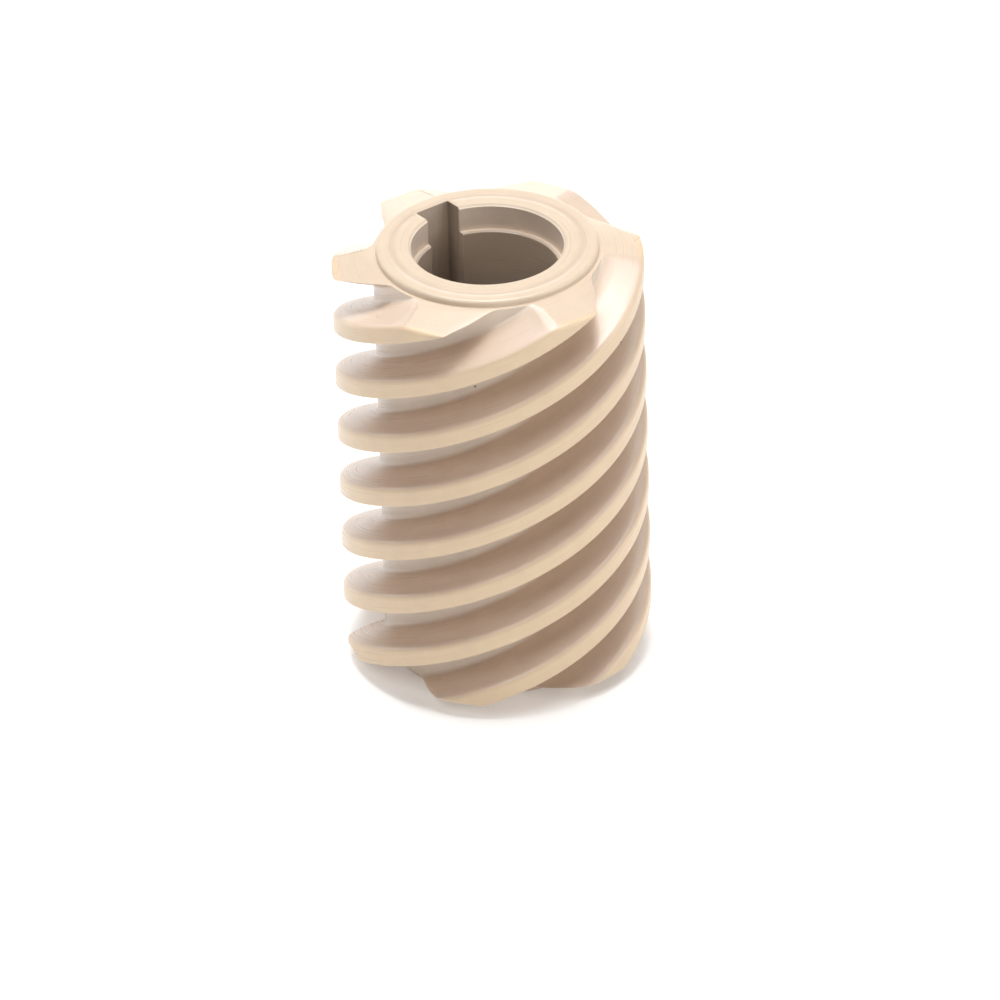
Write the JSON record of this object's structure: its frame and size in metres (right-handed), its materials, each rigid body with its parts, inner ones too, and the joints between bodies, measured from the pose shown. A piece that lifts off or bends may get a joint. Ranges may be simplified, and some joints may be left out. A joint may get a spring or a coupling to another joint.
{
  "type": "multi-start worm",
  "caption": "Cylindrical multi-start right-hand worm in one piece, with a keyed through bore, recessed bore mouths and a raised ring at each end.",
  "frame": {"origin": "middle of the bottom face, on the worm's axis", "axes": "+Z along the worm's axis; +Y from the axis towards the middle of the keyway"},
  "size_m": [0.048, 0.048, 0.0714],
  "materials": {
    "worm_plastic": "natural beige engineering plastic with a satin, finely machined surface"
  },
  "bodies": {
    "root": {"worm_gear": "worm_plastic"}
  },
  "joints": []
}
